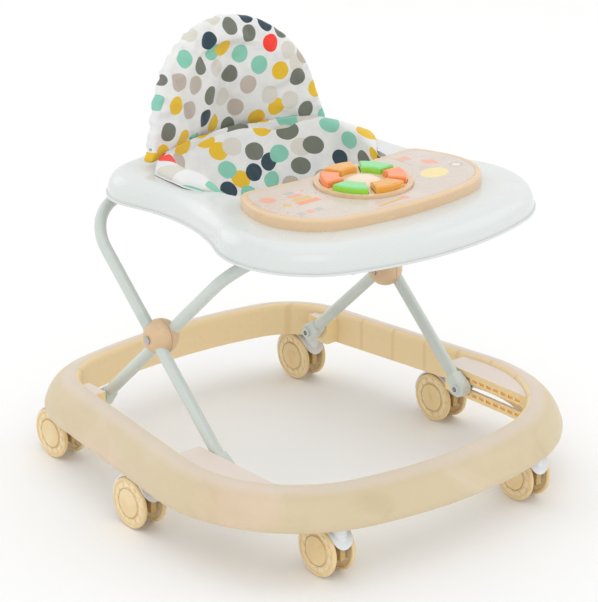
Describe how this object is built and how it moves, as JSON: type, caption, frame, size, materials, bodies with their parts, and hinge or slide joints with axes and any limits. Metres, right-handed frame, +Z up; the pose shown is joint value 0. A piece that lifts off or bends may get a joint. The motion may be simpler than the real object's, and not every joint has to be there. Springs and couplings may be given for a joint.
{
  "type": "baby walker",
  "caption": "Folding baby walker: a rounded base ring on twin-wheel casters, a scissor frame of bent tubes, and a tray with a play panel and a padded fabric seat.",
  "frame": {"origin": "on the floor, under the middle of the base ring", "axes": "+Z up, the front of the walker faces -Y, +X to the right in a front view"},
  "size_m": [0.5284, 0.568, 0.525],
  "materials": {
    "ring_plastic": "satin translucent cream polypropylene",
    "rail_plastic": "satin peach polypropylene",
    "wheel_plastic": "semi-gloss moulded",
    "white_plastic": "gloss moulded",
    "tray_plastic": "gloss moulded",
    "grey_plastic": "satin",
    "frame_paint": "satin powder coat",
    "fitting_plastic": "satin moulded, matched to the tubes",
    "steel": "zinc plated",
    "hub_plastic": "semi-gloss moulded",
    "panel_plastic": "semi-gloss moulded",
    "overlay_print": "printed film",
    "button_orange": "gloss moulded",
    "button_amber": "gloss moulded",
    "button_green": "gloss moulded",
    "dome_plastic": "gloss moulded",
    "seat_fabric": "woven cotton and polyester with printed dots"
  },
  "bodies": {
    "base": {"base_ring": "ring_plastic", "front_rail_left": "rail_plastic", "front_rail_right": "rail_plastic", "pivot_block_left": "rail_plastic", "pivot_block_right": "rail_plastic", "pivot_bolts": "steel"},
    "inner_frame": {"frame_tube_inner": "frame_paint", "pivot_sleeve_left": "fitting_plastic", "pivot_sleeve_right": "fitting_plastic", "hub_inner_left": "hub_plastic", "hub_inner_right": "hub_plastic", "hub_rivets": "steel"},
    "outer_frame": {"frame_tube_outer": "frame_paint", "slide_foot_left": "fitting_plastic", "slide_foot_right": "fitting_plastic", "hub_outer_left": "hub_plastic", "hub_outer_right": "hub_plastic", "slide_bolts": "steel"},
    "tray": {"tray": "tray_plastic", "hinge_clip_left": "white_plastic", "hinge_clip_right": "white_plastic", "height_rack_left": "white_plastic", "height_rack_right": "white_plastic", "play_panel": "panel_plastic", "panel_overlay": "overlay_print", "panel_dome": "dome_plastic", "sound_box": "grey_plastic", "seat_back": "seat_fabric", "backrest_board": "grey_plastic", "seat_sling": "seat_fabric"},
    "caster_front_left": {"hood_front_left": "white_plastic"},
    "wheels_front_left": {"axle_front_left": "steel", "wheel_front_left_a": "wheel_plastic", "wheel_front_left_b": "wheel_plastic"},
    "caster_front_right": {"hood_front_right": "white_plastic"},
    "wheels_front_right": {"axle_front_right": "steel", "wheel_front_right_a": "wheel_plastic", "wheel_front_right_b": "wheel_plastic"},
    "caster_mid_left": {"hood_mid_left": "white_plastic"},
    "wheels_mid_left": {"axle_mid_left": "steel", "wheel_mid_left_a": "wheel_plastic", "wheel_mid_left_b": "wheel_plastic"},
    "caster_mid_right": {"hood_mid_right": "white_plastic"},
    "wheels_mid_right": {"axle_mid_right": "steel", "wheel_mid_right_a": "wheel_plastic", "wheel_mid_right_b": "wheel_plastic"},
    "caster_back_left": {"hood_back_left": "white_plastic"},
    "wheels_back_left": {"axle_back_left": "steel", "wheel_back_left_a": "wheel_plastic", "wheel_back_left_b": "wheel_plastic"},
    "caster_back_right": {"hood_back_right": "white_plastic"},
    "wheels_back_right": {"axle_back_right": "steel", "wheel_back_right_a": "wheel_plastic", "wheel_back_right_b": "wheel_plastic"},
    "button_orange_left": {"button_orange_left": "button_orange"},
    "button_amber_rear": {"button_amber_rear": "button_amber"},
    "button_green_right": {"button_green_right": "button_green"},
    "button_orange_right": {"button_orange_right": "button_orange"},
    "button_amber_front": {"button_amber_front": "button_amber"},
    "button_green_left": {"button_green_left": "button_green"}
  },
  "joints": [
    {"name": "fold", "type": "hinge", "parent": "base", "child": "inner_frame", "pos_m": [0, 0.16779, 0.0827], "axis": [1, 0, 0], "range_deg": [0, 26]},
    {"name": "scissor", "type": "hinge", "parent": "inner_frame", "child": "outer_frame", "pos_m": [0, 0.042, 0.2], "axis": [1, 0, 0], "range_deg": [-52.5, 0]},
    {"name": "tray_level", "type": "hinge", "parent": "outer_frame", "child": "tray", "pos_m": [0, 0.17364, 0.32276], "axis": [1, 0, 0], "range_deg": [0, 26.5]},
    {"name": "swivel_front_left", "type": "hinge", "parent": "base", "child": "caster_front_left", "pos_m": [-0.148, -0.24, 0.065], "axis": [0, 0, 1], "continuous": true},
    {"name": "roll_front_left", "type": "hinge", "parent": "caster_front_left", "child": "wheels_front_left", "pos_m": [-0.148, -0.22, 0.03], "axis": [1, 0, 0], "continuous": true},
    {"name": "swivel_front_right", "type": "hinge", "parent": "base", "child": "caster_front_right", "pos_m": [0.148, -0.24, 0.065], "axis": [0, 0, 1], "continuous": true},
    {"name": "roll_front_right", "type": "hinge", "parent": "caster_front_right", "child": "wheels_front_right", "pos_m": [0.148, -0.22, 0.03], "axis": [1, 0, 0], "continuous": true},
    {"name": "swivel_mid_left", "type": "hinge", "parent": "base", "child": "caster_mid_left", "pos_m": [-0.231, -0.014, 0.065], "axis": [0, 0, 1], "continuous": true},
    {"name": "roll_mid_left", "type": "hinge", "parent": "caster_mid_left", "child": "wheels_mid_left", "pos_m": [-0.231, 0.006, 0.03], "axis": [1, 0, 0], "continuous": true},
    {"name": "swivel_mid_right", "type": "hinge", "parent": "base", "child": "caster_mid_right", "pos_m": [0.231, -0.014, 0.065], "axis": [0, 0, 1], "continuous": true},
    {"name": "roll_mid_right", "type": "hinge", "parent": "caster_mid_right", "child": "wheels_mid_right", "pos_m": [0.231, 0.006, 0.03], "axis": [1, 0, 0], "continuous": true},
    {"name": "swivel_back_left", "type": "hinge", "parent": "base", "child": "caster_back_left", "pos_m": [-0.187, 0.2, 0.065], "axis": [0, 0, 1], "continuous": true},
    {"name": "roll_back_left", "type": "hinge", "parent": "caster_back_left", "child": "wheels_back_left", "pos_m": [-0.187, 0.22, 0.03], "axis": [1, 0, 0], "continuous": true},
    {"name": "swivel_back_right", "type": "hinge", "parent": "base", "child": "caster_back_right", "pos_m": [0.187, 0.2, 0.065], "axis": [0, 0, 1], "continuous": true},
    {"name": "roll_back_right", "type": "hinge", "parent": "caster_back_right", "child": "wheels_back_right", "pos_m": [0.187, 0.22, 0.03], "axis": [1, 0, 0], "continuous": true},
    {"name": "press_orange_left", "type": "slide", "parent": "tray", "child": "button_orange_left", "axis": [0, 0, -1], "range_m": [0, 0.003], "stiffness_N_per_m": 300, "springref_m": -0.002},
    {"name": "press_amber_rear", "type": "slide", "parent": "tray", "child": "button_amber_rear", "axis": [0, 0, -1], "range_m": [0, 0.003], "stiffness_N_per_m": 300, "springref_m": -0.002},
    {"name": "press_green_right", "type": "slide", "parent": "tray", "child": "button_green_right", "axis": [0, 0, -1], "range_m": [0, 0.003], "stiffness_N_per_m": 300, "springref_m": -0.002},
    {"name": "press_orange_right", "type": "slide", "parent": "tray", "child": "button_orange_right", "axis": [0, 0, -1], "range_m": [0, 0.003], "stiffness_N_per_m": 300, "springref_m": -0.002},
    {"name": "press_amber_front", "type": "slide", "parent": "tray", "child": "button_amber_front", "axis": [0, 0, -1], "range_m": [0, 0.003], "stiffness_N_per_m": 300, "springref_m": -0.002},
    {"name": "press_green_left", "type": "slide", "parent": "tray", "child": "button_green_left", "axis": [0, 0, -1], "range_m": [0, 0.003], "stiffness_N_per_m": 300, "springref_m": -0.002}
  ],
  "couplings": [
    {"joint": "scissor", "follows": "fold", "ratio": -2},
    {"joint": "tray_level", "follows": "fold", "ratio": 1}
  ]
}
